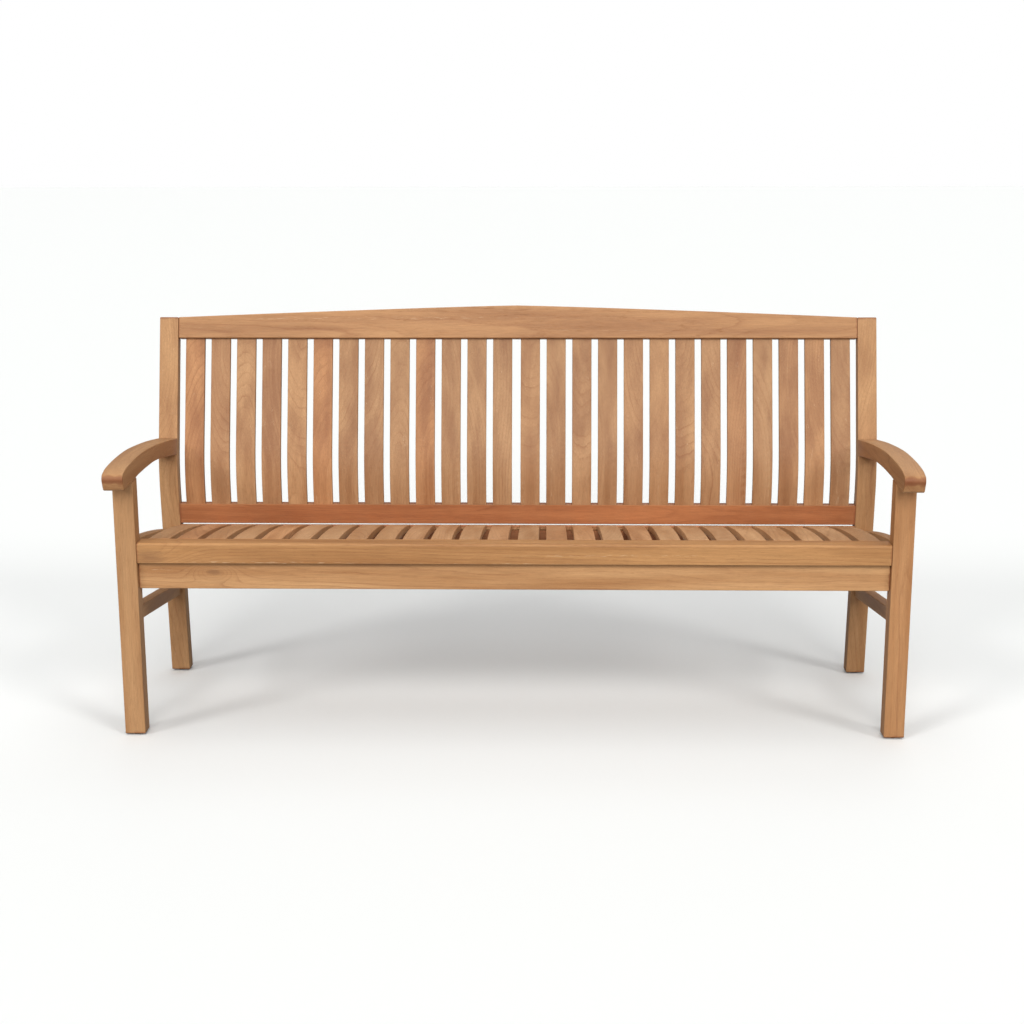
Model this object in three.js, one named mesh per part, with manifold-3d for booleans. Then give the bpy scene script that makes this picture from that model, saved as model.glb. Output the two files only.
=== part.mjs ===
// Three-seat garden bench in oiled teak. Millimetres, +Z up, seat facing -Y.
// Two end frames (front leg, rear leg, arm, seat side rail, stretcher) are tied together by
// the seat rails and the back rails. Every rail has tenons that enter mortises in the legs.
// While it is built, y = 0 is the front face of the front legs. The last lines move the
// bench so that its origin is on the floor, in the middle of its bounding box.
import * as THREE from 'three';
import { mergeVertices } from 'three/addons/utils/BufferGeometryUtils.js';
import Module from 'manifold-3d';

const wasm = await Module();
wasm.setup();

// ---- Overall sizes ----
const WIDTH = 1800;              // over the outer faces of the legs
const POST_TOP = 916.5;          // front top edge of the rear legs, above the floor
const SEAT_TOP = 459;            // top of the seat at its front rail
const SEAT_DEPTH = 400;          // seat slats between the two seat rails, front to back
const ARM_REACH = 83;            // arm nose in front of the front legs

// ---- Fits ----
const GAP = 0.3;                 // glue line between two touching pieces
const TENON_T = 12;              // thickness of every tenon
const TENON_WALL = 2.5;          // wood left in a leg between tenons that meet at a corner
const STUB_L = 18;               // length of the end frames' tenons

// ---- End frames ----
const LEG_W = 47;                // legs, posts and arms, along X
const FRONT_LEG_D = 41;          // front leg, along Y
const POST_D_FOOT = 38;          // rear leg at the floor, front to back
const POST_D_TOP = 29;           // rear leg at its top
const KNEE_FORWARD = 7.5;        // the knee's corner in front of the rear end of the seat slats
const KNEE_Z = 544.5;            // and its height, where the two straight lines would meet
const KNEE_R = 370;              // radius that blends them, on the front face
const LEG_RAKE = THREE.MathUtils.degToRad(4.4);
const BACK_RAKE = THREE.MathUtils.degToRad(14.3);

// ---- Arms ----
const ARM_TOP = 649;             // highest point of the arm
const ARM_REAR_TOP = 620;        // arm's top where it meets the post
const ARM_T = 40;                // arm depth at the post
const ARM_UNDER = 600;           // underside at the front leg's front face
const ARM_UNDER_SLOPE = 0.085;   // rise of the straight part of the underside
const ARM_STRAIGHT = 60;         // straight part of the underside behind the leg's front
const NOSE_R = 17;               // upper round of the arm's nose
const NOSE_CHIN_R = 9;           // lower round of the arm's nose

// ---- Seat ----
const NOSING_D = 48;             // front seat rail, along Y
const NOSING_H = 47.5;
const NOSING_R = 6;              // round on the nosing's front edge
const APRON_H = 62;
const APRON_T = 22;
const APRON_SETBACK = 13;        // apron face behind the nosing's face
const REAR_RAIL_T = 32;
const REAR_RAIL_H = 48;
const SEAT_SLOPE_FRONT = 0.075;  // fall of the seat per mm of depth, at its front
const SEAT_SLOPE_REAR = 0.215;   // and at its rear
const SEAT_SLAT_T = 18;
const TONGUE_T = 8;              // slat tongues and the grooves that hold them
const TONGUE_L = 10;
const TONGUE_DROP = 6;           // top of the tongue below the top of the slat
const SIDE_T = 27;               // seat side rails and stretchers, along X
const SIDE_RAIL_H = 46;
const SIDE_DROP_FRONT = 3;       // side rail's top below the seat surface, at its front
const SIDE_DROP_REAR = 13;       // and at its rear
const STRETCHER_TOP = 299;       // top of the stretcher at the front leg
const STRETCHER_FALL = 0.128;    // its fall per mm of depth
const STRETCHER_H = 33;
const BEARER_T = 27;
const BEARER_H = 40;

// ---- Back ----
const LOWER_RAIL_Z = 402.5;       // underside of the lower back rail
const LOWER_RAIL_H = 50.5;
const LOWER_RAIL_T = 29;
const TOP_RAIL_Z = 865.5;        // front lower edge of the top rail
const TOP_RAIL_T = 28;
const CROWN_RISE = 30;           // middle of the top rail above its ends
const CROWN_POWER = 1.18;        // 1 is two straight slopes, 2 is a parabola
const BACK_SLAT_T = 13;
const SETBACK_LOW = 3;           // slat face behind the line of the posts, at the lower rail
const SETBACK_HIGH = 10;         // and at the top rail
const HOUSING = 12;              // slat ends let into the rails

// ---- Slats, the same layout in seat and back ----
const SLAT_COUNT = 26;
const SLAT_W = 48.3;
const SLAT_END = 17.5;           // from a post to the nearest slat
const MIDDLE_GAP = 21.6;         // the slats are set out from both ends, and this is left over
const BEARER_SLATS = [9, 18];    // the slats that have a bearer under them

// ---- Foot glides ----
const GLIDE_H = 4;
const GLIDE_R = 11;
const NAIL_R = 2;
const NAIL_L = 14;

// ---- Places worked out from the sizes ----
const HALF = WIDTH / 2;
const INNER = HALF - LEG_W;
const RAIL_END = INNER - GAP;
const SLATTED = 2 * (INNER - SLAT_END);
const SLAT_GAP = (SLATTED - SLAT_COUNT * SLAT_W - MIDDLE_GAP) / (SLAT_COUNT - 2);
const SLAT_PITCH = SLAT_W + SLAT_GAP;
const SEAT_FRONT_Y = NOSING_D;
const SEAT_REAR_Y = NOSING_D + SEAT_DEPTH;
const KNEE_Y = SEAT_REAR_Y - KNEE_FORWARD;
const SIDE_IN = HALF - (LEG_W + SIDE_T) / 2;
const SIDE_OUT = HALF - (LEG_W - SIDE_T) / 2;
const SIDE_MID = HALF - LEG_W / 2;
const TENON_L = LEG_W / 2 - TENON_T / 2 - TENON_WALL;
const NOSING_Z = SEAT_TOP - NOSING_H;
const APRON_Z = NOSING_Z - APRON_H;
const APRON_Y = APRON_SETBACK;

// ---- Shape helpers ----
const ALONG_X = new THREE.Matrix4().makeBasis(
  new THREE.Vector3(0, 1, 0), new THREE.Vector3(0, 0, 1), new THREE.Vector3(1, 0, 0));
const ALONG_Y = new THREE.Matrix4().makeBasis(
  new THREE.Vector3(1, 0, 0), new THREE.Vector3(0, 0, 1), new THREE.Vector3(0, -1, 0));

function solidOf(geometry) {
  const bare = geometry.clone();
  bare.deleteAttribute('normal');
  bare.deleteAttribute('uv');
  const merged = mergeVertices(bare, 1e-4);
  return new wasm.Manifold(new wasm.Mesh({
    numProp: 3,
    vertProperties: new Float32Array(merged.attributes.position.array),
    triVerts: new Uint32Array(merged.index.array),
  }));
}

function block(x0, x1, y0, y1, z0, z1) {
  const geometry = new THREE.BoxGeometry(x1 - x0, y1 - y0, z1 - z0);
  geometry.translate((x0 + x1) / 2, (y0 + y1) / 2, (z0 + z1) / 2);
  return solidOf(geometry);
}

// A side view outline, points of (y, z), made solid from x0 to x1.
function sideProfile(points, x0, x1) {
  const outline = new THREE.Shape(points.map(([y, z]) => new THREE.Vector2(y, z)));
  const geometry = new THREE.ExtrudeGeometry(outline, { depth: x1 - x0, bevelEnabled: false });
  geometry.applyMatrix4(ALONG_X);
  geometry.translate(x0, 0, 0);
  return solidOf(geometry);
}

// The same block on the left side (-1) or on the right side (+1).
function sideBlock(side, xInner, xOuter, y0, y1, z0, z1) {
  const ends = [side * xInner, side * xOuter].sort((a, b) => a - b);
  return block(ends[0], ends[1], y0, y1, z0, z1);
}

function sideShape(side, points, xInner, xOuter) {
  const ends = [side * xInner, side * xOuter].sort((a, b) => a - b);
  return sideProfile(points, ends[0], ends[1]);
}

function joined(first, ...others) {
  return others.reduce((sum, other) => sum.add(other), first);
}

function cut(solid, ...tools) {
  return tools.reduce((rest, tool) => rest.subtract(tool), solid);
}

const bench = new THREE.Group();

function place(name, solid, color, roughness = 0.6) {
  const { vertProperties, triVerts } = solid.getMesh();
  const geometry = new THREE.BufferGeometry();
  geometry.setAttribute('position', new THREE.BufferAttribute(vertProperties, 3));
  geometry.setIndex(new THREE.BufferAttribute(triVerts, 1));
  geometry.computeVertexNormals();
  const material = new THREE.MeshStandardMaterial({ color, roughness, metalness: 0 });
  const mesh = new THREE.Mesh(geometry, material);
  mesh.name = name;
  bench.add(mesh);
}

const TEAK = 0xb98554;
const TEAK_PALE = 0xc39561;
const TEAK_RED = 0xa8683e;
const NYLON_DARK = 0x2a2724;

// ---- The line of the back: two straight lines and the arc between them ----
const kneeHalf = (LEG_RAKE + BACK_RAKE) / 2;
const kneeMid = (BACK_RAKE - LEG_RAKE) / 2;
const kneeReach = KNEE_R / Math.cos(kneeHalf);
const KNEE_CY = KNEE_Y + kneeReach * Math.cos(kneeMid);
const KNEE_CZ = KNEE_Z - kneeReach * Math.sin(kneeMid);

// Height at which the arc starts (-LEG_RAKE) or ends (BACK_RAKE), at a depth behind the face.
function arcZ(angle, depth) {
  return KNEE_CZ + (KNEE_R - depth) * Math.sin(angle);
}

// y of the line that runs `depth` behind the front face of the rear legs, at height z.
function backY(z, depth) {
  const radius = KNEE_R - depth;
  if (z < arcZ(-LEG_RAKE, depth)) {
    const y = KNEE_CY - radius * Math.cos(LEG_RAKE);
    return y + (arcZ(-LEG_RAKE, depth) - z) * Math.tan(LEG_RAKE);
  }
  if (z > arcZ(BACK_RAKE, depth)) {
    const y = KNEE_CY - radius * Math.cos(BACK_RAKE);
    return y + (z - arcZ(BACK_RAKE, depth)) * Math.tan(BACK_RAKE);
  }
  return KNEE_CY - Math.sqrt(radius * radius - (z - KNEE_CZ) ** 2);
}

// Points of a line from height z0 up to z1, with a few on the arc. Its depth behind the face
// changes evenly from `low` at z0 to `high` at z1.
function backLine(z0, z1, low, high, arcSteps = 6) {
  const heights = [z0];
  for (let i = 0; i <= arcSteps; i++) {
    const z = arcZ(-LEG_RAKE + (i / arcSteps) * (LEG_RAKE + BACK_RAKE), 0);
    if (z > z0 + 1 && z < z1 - 1) heights.push(z);
  }
  heights.push(z1);
  return heights.map((z) => [backY(z, low + ((high - low) * (z - z0)) / (z1 - z0)), z]);
}

// A bar that follows the back, cut level below and square above. Its front and its rear face
// are depths [at z0, at z1].
function backBar(z0, z1, front, rear) {
  const drop = (rear[1] - front[1]) * Math.sin(BACK_RAKE);
  const face = backLine(z0, z1, ...front);
  const back = backLine(z0, z1 - drop, ...rear);
  return [...back, ...face.reverse()];
}

// ---- The surface of the seat ----
function seatZ(y) {
  const t = Math.max(y - SEAT_FRONT_Y, 0);
  const inSeat = Math.min(t, SEAT_DEPTH);
  const bend = (SEAT_SLOPE_REAR - SEAT_SLOPE_FRONT) / (2 * SEAT_DEPTH);
  const beyond = (t - inSeat) * SEAT_SLOPE_REAR;
  return SEAT_TOP - SEAT_SLOPE_FRONT * inSeat - bend * inSeat ** 2 - beyond;
}

// Points (y, z) of a line below the seat surface, by a drop that is a function of y.
function seatLine(y0, y1, dropAt, steps = 8) {
  const points = [];
  for (let i = 0; i <= steps; i++) {
    const y = y0 + ((y1 - y0) * i) / steps;
    points.push([y, seatZ(y) - dropAt(y)]);
  }
  return points;
}

// Left edge of a slat. The right half of them is set out from the right.
function slatX(number) {
  if (number <= SLAT_COUNT / 2) return -INNER + SLAT_END + (number - 1) * SLAT_PITCH;
  return INNER - SLAT_END - SLAT_W - (SLAT_COUNT - number) * SLAT_PITCH;
}

// ---- Tenons, each with a mortise that is GAP larger all round ----
// Long rails: name of the rail to the y and z ranges of its tenons.
const topTenonZ = TOP_RAIL_Z + 12;
const railTenons = {
  nosing: [FRONT_LEG_D / 2 - TENON_T / 2, NOSING_Z + 10, NOSING_H - 20],
  apron: [APRON_Y + (APRON_T - TENON_T) / 2, APRON_Z + 10, APRON_H - 24],
  seatRear: [SEAT_REAR_Y + (REAR_RAIL_T - TENON_T) / 2 + 5, seatZ(SEAT_REAR_Y) - 42, 24],
  lowerBack: [backY(LOWER_RAIL_Z, 0) + (LOWER_RAIL_T - TENON_T) / 2, LOWER_RAIL_Z + 9, 28],
  topBack: [backY(topTenonZ, 0) + 11, topTenonZ, 30],
};

function railTenon(name, side) {
  const [y, z, h] = railTenons[name];
  return sideBlock(side, RAIL_END - 1, INNER + TENON_L, y, y + TENON_T, z, z + h);
}

function railMortise(name, side) {
  const [y, z, h] = railTenons[name];
  const outer = INNER + TENON_L + GAP;
  return sideBlock(side, INNER - 1, outer, y - GAP, y + TENON_T + GAP, z - GAP, z + h + GAP);
}

// End frames: tenons at both ends of the side rail and the stretcher, and behind the arm.
const postFaceY = (z) => backY(z, 0);
const stretcherZ = (y) => STRETCHER_TOP - (y - FRONT_LEG_D) * STRETCHER_FALL;
const sideDrop = (y) => SIDE_DROP_FRONT
  + ((SIDE_DROP_REAR - SIDE_DROP_FRONT) * (y - FRONT_LEG_D)) / (SEAT_REAR_Y - FRONT_LEG_D);
const sideRailZ = (y) => seatZ(y) - sideDrop(y);
const frameTenons = {
  railFront: { y: FRONT_LEG_D, into: -1, z: sideRailZ(FRONT_LEG_D) - 36, h: 26 },
  railRear: { y: postFaceY(380), into: 1, z: sideRailZ(postFaceY(380)) - 34, h: 24 },
  stretcherFront: { y: FRONT_LEG_D, into: -1, z: STRETCHER_TOP - 26, h: 18 },
  stretcherRear: { y: postFaceY(250), into: 1, z: stretcherZ(postFaceY(250)) - 23, h: 18 },
  arm: { y: postFaceY(600), into: 1, z: ARM_REAR_TOP - ARM_T + 9, h: 22 },
};

function frameTenon(name, side, extra = 0) {
  const { y, into, z, h } = frameTenons[name];
  const root = y - into * (5 + extra);
  const tip = y + into * (STUB_L + extra);
  const inner = SIDE_MID - TENON_T / 2 - extra;
  const outer = SIDE_MID + TENON_T / 2 + extra;
  const [y0, y1] = [root, tip].sort((a, b) => a - b);
  return sideBlock(side, inner, outer, y0, y1, z - extra, z + h + extra);
}

// ---- Legs ----
function glideHole(side, y) {
  const hole = new THREE.CylinderGeometry(NAIL_R + GAP, NAIL_R + GAP, 2 * NAIL_L, 12);
  hole.rotateX(Math.PI / 2);
  hole.translate(side * SIDE_MID, y, GLIDE_H);
  return solidOf(hole);
}

const armUnderZ = (y) => ARM_UNDER + ARM_UNDER_SLOPE * y;
const LEG_TENON_H = 22;
const legTenon = [SIDE_MID - 13, SIDE_MID + 13, FRONT_LEG_D / 2 - 10, FRONT_LEG_D / 2 + 10];
const legTenonTop = armUnderZ(FRONT_LEG_D / 2) + LEG_TENON_H;

function frontLeg(side) {
  const outline = [
    [0, GLIDE_H],
    [FRONT_LEG_D, GLIDE_H],
    [FRONT_LEG_D, armUnderZ(FRONT_LEG_D) - GAP],
    [0, armUnderZ(0) - GAP],
  ];
  const post = sideShape(side, outline, INNER, HALF);
  const [x0, x1, y0, y1] = legTenon;
  const tenon = sideBlock(side, x0, x1, y0, y1, ARM_UNDER - 20, legTenonTop);
  return cut(
    joined(post, tenon),
    railMortise('nosing', side),
    railMortise('apron', side),
    frameTenon('railFront', side, GAP),
    frameTenon('stretcherFront', side, GAP),
    glideHole(side, FRONT_LEG_D / 2),
  );
}

const rearGlideY = backY(GLIDE_H, POST_D_FOOT / 2);

function rearLeg(side) {
  const outline = backBar(GLIDE_H, POST_TOP, [0, 0], [POST_D_FOOT, POST_D_TOP]);
  const post = sideShape(side, outline, INNER, HALF);
  return cut(
    post,
    railMortise('seatRear', side),
    railMortise('lowerBack', side),
    railMortise('topBack', side),
    frameTenon('railRear', side, GAP),
    frameTenon('stretcherRear', side, GAP),
    frameTenon('arm', side, GAP),
    glideHole(side, rearGlideY),
  );
}

function footGlide(side, y) {
  const profile = [
    [0, 0],
    [GLIDE_R - 1, 0],
    [GLIDE_R, 1],
    [GLIDE_R, GLIDE_H - GAP],
    [NAIL_R, GLIDE_H - GAP],
    [NAIL_R, GLIDE_H + NAIL_L - 3],
    [0, GLIDE_H + NAIL_L - 1],
  ];
  const glide = new THREE.LatheGeometry(profile.map(([r, z]) => new THREE.Vector2(r, z)), 20);
  glide.rotateX(Math.PI / 2);
  glide.translate(side * SIDE_MID, y, 0);
  return solidOf(glide);
}

// ---- Arms ----
function arcPoints(cy, cz, radius, from, to, steps) {
  const points = [];
  for (let i = 0; i <= steps; i++) {
    const angle = THREE.MathUtils.degToRad(from + ((to - from) * i) / steps);
    points.push([cy + radius * Math.cos(angle), cz + radius * Math.sin(angle)]);
  }
  return points;
}

function smooth(points, steps) {
  const curve = new THREE.SplineCurve(points.map(([y, z]) => new THREE.Vector2(y, z)));
  return curve.getPoints(steps).map((point) => [point.x, point.y]);
}

function armOutline() {
  const butt = backLine(ARM_REAR_TOP - ARM_T, ARM_REAR_TOP, 0, 0).map(([y, z]) => [y - GAP, z]);
  const rearUnder = butt[0];
  const rearTop = butt[butt.length - 1];
  const reach = rearTop[0];
  const archEnd = [ARM_STRAIGHT, armUnderZ(ARM_STRAIGHT)];
  const under = smooth([
    archEnd,
    [reach * 0.34, ARM_UNDER + 7.5],
    [reach * 0.56, ARM_UNDER + 4],
    rearUnder,
  ], 9);
  const noseTop = [-ARM_REACH + NOSE_R * 0.75, ARM_TOP - 14];
  const top = smooth([
    rearTop,
    [reach * 0.7, ARM_TOP - 13],
    [reach * 0.33, ARM_TOP - 0.5],
    [reach * 0.08, ARM_TOP - 1],
    [-ARM_REACH * 0.5, ARM_TOP - 7],
    noseTop,
  ], 15);
  const chinY = -ARM_REACH + 16;
  const nose = arcPoints(-ARM_REACH + NOSE_R, noseTop[1] - NOSE_R * 0.9, NOSE_R, 130, 184, 4);
  const chin = arcPoints(chinY, armUnderZ(chinY) + NOSE_CHIN_R, NOSE_CHIN_R, 200, 275, 4);
  return [...nose, ...chin, ...under, ...butt.slice(1, -1), ...top.slice(0, -1)];
}

function arm(side) {
  const body = sideShape(side, armOutline(), INNER, HALF);
  const [x0, x1, y0, y1] = legTenon;
  const socket = sideBlock(
    side, x0 - GAP, x1 + GAP, y0 - GAP, y1 + GAP, ARM_UNDER - 20, legTenonTop + GAP);
  return joined(cut(body, socket), frameTenon('arm', side));
}

// ---- Seat frame ----
function seatGroove(y0, y1, railFaceZ) {
  const top = railFaceZ - TONGUE_DROP + GAP;
  return block(-RAIL_END + 1, RAIL_END - 1, y0, y1, top - TONGUE_T - 2 * GAP, top);
}

function seatFrontRail() {
  const outline = [
    [NOSING_D, NOSING_Z],
    [NOSING_D, SEAT_TOP],
    ...arcPoints(NOSING_R, SEAT_TOP - NOSING_R, NOSING_R, 90, 180, 4),
    [0, NOSING_Z],
  ];
  const rail = sideProfile(outline, -RAIL_END, RAIL_END);
  const tenons = [railTenon('nosing', -1), railTenon('nosing', 1)];
  return cut(
    joined(rail, ...tenons),
    seatGroove(NOSING_D - TONGUE_L - GAP, NOSING_D + 1, SEAT_TOP),
  );
}

function frontApron() {
  const top = NOSING_Z - GAP;
  const board = block(-RAIL_END, RAIL_END, APRON_Y, APRON_Y + APRON_T, APRON_Z, top);
  return joined(board, railTenon('apron', -1), railTenon('apron', 1));
}

const rearRailTop = seatZ(SEAT_REAR_Y);

function seatRearRail() {
  const rear = SEAT_REAR_Y + REAR_RAIL_T;
  const outline = [
    [SEAT_REAR_Y, rearRailTop - REAR_RAIL_H],
    [rear, rearRailTop - REAR_RAIL_H],
    [rear, seatZ(rear)],
    [SEAT_REAR_Y, rearRailTop],
  ];
  const rail = sideProfile(outline, -RAIL_END, RAIL_END);
  const tenons = [railTenon('seatRear', -1), railTenon('seatRear', 1)];
  return cut(
    joined(rail, ...tenons),
    seatGroove(SEAT_REAR_Y - 1, SEAT_REAR_Y + TONGUE_L + GAP, rearRailTop),
  );
}

function sideSeatRail(side) {
  const front = FRONT_LEG_D + GAP;
  const rearTopY = postFaceY(sideRailZ(postFaceY(380))) - GAP;
  const rearUnderY = postFaceY(sideRailZ(rearTopY) - SIDE_RAIL_H) - GAP;
  const outline = [
    ...seatLine(front, rearUnderY, (y) => sideDrop(y) + SIDE_RAIL_H),
    ...seatLine(front, rearTopY, sideDrop).reverse(),
  ];
  const rail = sideShape(side, outline, SIDE_IN, SIDE_OUT);
  return joined(rail, frameTenon('railFront', side), frameTenon('railRear', side));
}

function sideStretcher(side) {
  const front = FRONT_LEG_D + GAP;
  const rearTopY = postFaceY(stretcherZ(postFaceY(250))) - GAP;
  const rearUnderY = postFaceY(stretcherZ(rearTopY) - STRETCHER_H) - GAP;
  const outline = [
    [front, stretcherZ(front) - STRETCHER_H],
    [rearUnderY, stretcherZ(rearUnderY) - STRETCHER_H],
    [rearTopY, stretcherZ(rearTopY)],
    [front, stretcherZ(front)],
  ];
  const bar = sideShape(side, outline, SIDE_IN, SIDE_OUT);
  return joined(bar, frameTenon('stretcherFront', side), frameTenon('stretcherRear', side));
}

// A bearer under one seat slat. It butts the apron, passes under the nosing and ends at the
// rear rail.
function seatBearer(slatNumber) {
  const x0 = slatX(slatNumber) + (SLAT_W - BEARER_T) / 2;
  const drop = SEAT_SLAT_T + GAP;
  const front = NOSING_D + GAP;
  const rear = SEAT_REAR_Y - GAP;
  const toe = APRON_Y + APRON_T + GAP;
  const underZ = seatZ(front) - drop - BEARER_H;
  const outline = [
    [toe, underZ],
    ...seatLine(front, rear, () => drop + BEARER_H),
    ...seatLine(front, rear, () => drop).reverse(),
    [front, NOSING_Z - GAP],
    [toe, NOSING_Z - GAP],
  ];
  return sideProfile(outline, x0, x0 + BEARER_T);
}

// ---- Seat slats, in neighbouring pairs held apart by spacers in the grooves ----
function seatSlat(number) {
  const front = SEAT_FRONT_Y + GAP;
  const rear = SEAT_REAR_Y - GAP;
  const frontTongueZ = SEAT_TOP - TONGUE_DROP;
  const rearTongueZ = rearRailTop - TONGUE_DROP;
  const outline = [
    ...seatLine(front, rear, () => SEAT_SLAT_T),
    [rear, rearTongueZ - TONGUE_T],
    [SEAT_REAR_Y + TONGUE_L, rearTongueZ - TONGUE_T],
    [SEAT_REAR_Y + TONGUE_L, rearTongueZ],
    [rear, rearTongueZ],
    ...seatLine(front, rear, () => 0).reverse(),
    [front, frontTongueZ],
    [SEAT_FRONT_Y - TONGUE_L, frontTongueZ],
    [SEAT_FRONT_Y - TONGUE_L, frontTongueZ - TONGUE_T],
    [front, frontTongueZ - TONGUE_T],
  ];
  const x0 = slatX(number);
  return sideProfile(outline, x0, x0 + SLAT_W);
}

function seatSlatPair(number) {
  const x0 = slatX(number) + SLAT_W - 1;
  const x1 = slatX(number + 1) + 1;
  const frontTop = SEAT_TOP - TONGUE_DROP;
  const rearTop = rearRailTop - TONGUE_DROP;
  const frontY = SEAT_FRONT_Y - TONGUE_L;
  const rearY = SEAT_REAR_Y + TONGUE_L;
  return joined(
    seatSlat(number),
    seatSlat(number + 1),
    block(x0, x1, frontY, SEAT_FRONT_Y - 1, frontTop - TONGUE_T, frontTop),
    block(x0, x1, SEAT_REAR_Y + 1, rearY, rearTop - TONGUE_T, rearTop),
  );
}

// ---- Back ----
const slatLow = LOWER_RAIL_Z + LOWER_RAIL_H - HOUSING;
const slatHigh = TOP_RAIL_Z + HOUSING * Math.cos(BACK_RAKE);

function backSlat(number, extra = 0) {
  const x0 = slatX(number);
  const front = [SETBACK_LOW - extra, SETBACK_HIGH - extra];
  const rear = front.map((depth) => depth + BACK_SLAT_T + 2 * extra);
  const outline = backBar(slatLow - extra, slatHigh + extra, front, rear);
  return sideProfile(outline, x0 - extra, x0 + SLAT_W + extra);
}

function slatHousings() {
  const housings = [];
  for (let number = 1; number <= SLAT_COUNT; number++) housings.push(backSlat(number, GAP));
  return housings;
}

// The lower rail's front face follows the posts.
function backLowerRail() {
  const top = LOWER_RAIL_Z + LOWER_RAIL_H;
  const face = [top, LOWER_RAIL_Z].map((z) => [backY(z, 0), z]);
  const back = face.map(([y, z]) => [y + LOWER_RAIL_T, z]).reverse();
  const rail = sideProfile([...back, ...face], -RAIL_END, RAIL_END);
  const whole = joined(rail, railTenon('lowerBack', -1), railTenon('lowerBack', 1));
  return cut(whole, ...slatHousings());
}

// The top rail is drawn flat, then leaned back about its front lower edge.
function backTopRail() {
  const endHeight = (POST_TOP - TOP_RAIL_Z) / Math.cos(BACK_RAKE);
  const crown = new THREE.Shape();
  crown.moveTo(-RAIL_END, 0);
  crown.lineTo(RAIL_END, 0);
  const steps = 24;
  for (let i = 0; i <= steps; i++) {
    const x = RAIL_END * (1 - (2 * i) / steps);
    const rise = CROWN_RISE * (1 - Math.abs(x / RAIL_END) ** CROWN_POWER);
    crown.lineTo(x, endHeight + rise);
  }
  crown.closePath();
  const board = new THREE.ExtrudeGeometry(crown, { depth: TOP_RAIL_T, bevelEnabled: false });
  board.applyMatrix4(ALONG_Y);
  board.translate(0, TOP_RAIL_T, 0);
  board.rotateX(-BACK_RAKE);
  board.translate(0, backY(TOP_RAIL_Z, 0), TOP_RAIL_Z);
  const whole = joined(solidOf(board), railTenon('topBack', -1), railTenon('topBack', 1));
  return cut(whole, ...slatHousings());
}

// ---- The bench ----
const SIDES = { left: -1, right: 1 };
for (const [word, side] of Object.entries(SIDES)) {
  place(`front_leg_${word}`, frontLeg(side), TEAK);
  place(`rear_leg_${word}`, rearLeg(side), TEAK);
  place(`arm_${word}`, arm(side), TEAK_PALE);
  place(`side_seat_rail_${word}`, sideSeatRail(side), TEAK);
  place(`side_stretcher_${word}`, sideStretcher(side), TEAK);
  place(`foot_glide_front_${word}`, footGlide(side, FRONT_LEG_D / 2), NYLON_DARK, 0.5);
  place(`foot_glide_rear_${word}`, footGlide(side, rearGlideY), NYLON_DARK, 0.5);
}
place('seat_front_rail', seatFrontRail(), TEAK_PALE);
place('front_apron', frontApron(), TEAK_PALE);
place('seat_rear_rail', seatRearRail(), TEAK_RED);
place('back_lower_rail', backLowerRail(), TEAK_RED);
place('back_top_rail', backTopRail(), TEAK);
place('seat_bearer_left', seatBearer(BEARER_SLATS[0]), TEAK);
place('seat_bearer_right', seatBearer(BEARER_SLATS[1]), TEAK);
for (let number = 1; number <= SLAT_COUNT; number++) {
  const label = String(number).padStart(2, '0');
  place(`back_slat_${label}`, backSlat(number), TEAK);
}
for (let number = 1; number < SLAT_COUNT; number += 2) {
  const label = [number, number + 1].map((n) => String(n).padStart(2, '0')).join('_');
  place(`seat_slats_${label}`, seatSlatPair(number), TEAK_PALE);
}

// Origin on the floor, in the middle of the bounding box.
const extent = new THREE.Box3().setFromObject(bench);
bench.position.y = -(extent.min.y + extent.max.y) / 2;

export default bench;
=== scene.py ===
# %% [markdown]
# # A garden bench in oiled teak
# The bench is two end frames tied together by rails, with twenty-six slats in the seat and
# twenty-six in the back. The imported design gives every board its exact size and place. What
# is left for Blender is what a joiner and the weather do to it: the arrises are rounded, each
# board is cut from its own place in a log, and oil and hands have been over the wood. Shade
# in the lines where boards meet is painted into the colour.

import math

import bmesh
import bpy
import numpy as np
from mathutils import Euler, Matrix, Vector


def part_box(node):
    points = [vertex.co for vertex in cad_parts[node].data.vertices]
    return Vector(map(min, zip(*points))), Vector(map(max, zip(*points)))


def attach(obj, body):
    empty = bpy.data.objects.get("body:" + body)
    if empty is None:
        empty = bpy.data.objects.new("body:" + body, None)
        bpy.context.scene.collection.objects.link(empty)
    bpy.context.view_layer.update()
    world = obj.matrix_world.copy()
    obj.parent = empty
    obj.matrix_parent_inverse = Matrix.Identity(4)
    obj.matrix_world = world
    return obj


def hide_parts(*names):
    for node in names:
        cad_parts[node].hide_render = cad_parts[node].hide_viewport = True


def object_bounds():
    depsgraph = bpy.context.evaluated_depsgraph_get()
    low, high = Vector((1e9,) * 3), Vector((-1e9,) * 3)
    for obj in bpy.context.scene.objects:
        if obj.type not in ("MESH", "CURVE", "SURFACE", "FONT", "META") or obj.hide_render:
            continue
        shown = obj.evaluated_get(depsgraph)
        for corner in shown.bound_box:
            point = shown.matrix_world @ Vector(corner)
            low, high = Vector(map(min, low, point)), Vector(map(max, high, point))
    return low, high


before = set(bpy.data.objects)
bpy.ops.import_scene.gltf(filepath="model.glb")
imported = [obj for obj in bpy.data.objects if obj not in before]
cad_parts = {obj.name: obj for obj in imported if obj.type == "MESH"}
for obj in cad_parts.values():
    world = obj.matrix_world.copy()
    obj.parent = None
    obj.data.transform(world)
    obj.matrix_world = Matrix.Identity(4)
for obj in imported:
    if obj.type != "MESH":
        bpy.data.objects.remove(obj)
cad_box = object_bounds()
MM = 0.001
print("boards in the design:", len(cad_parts))
print("box of the design:", [tuple(round(v, 4) for v in corner) for corner in cad_box])

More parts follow.
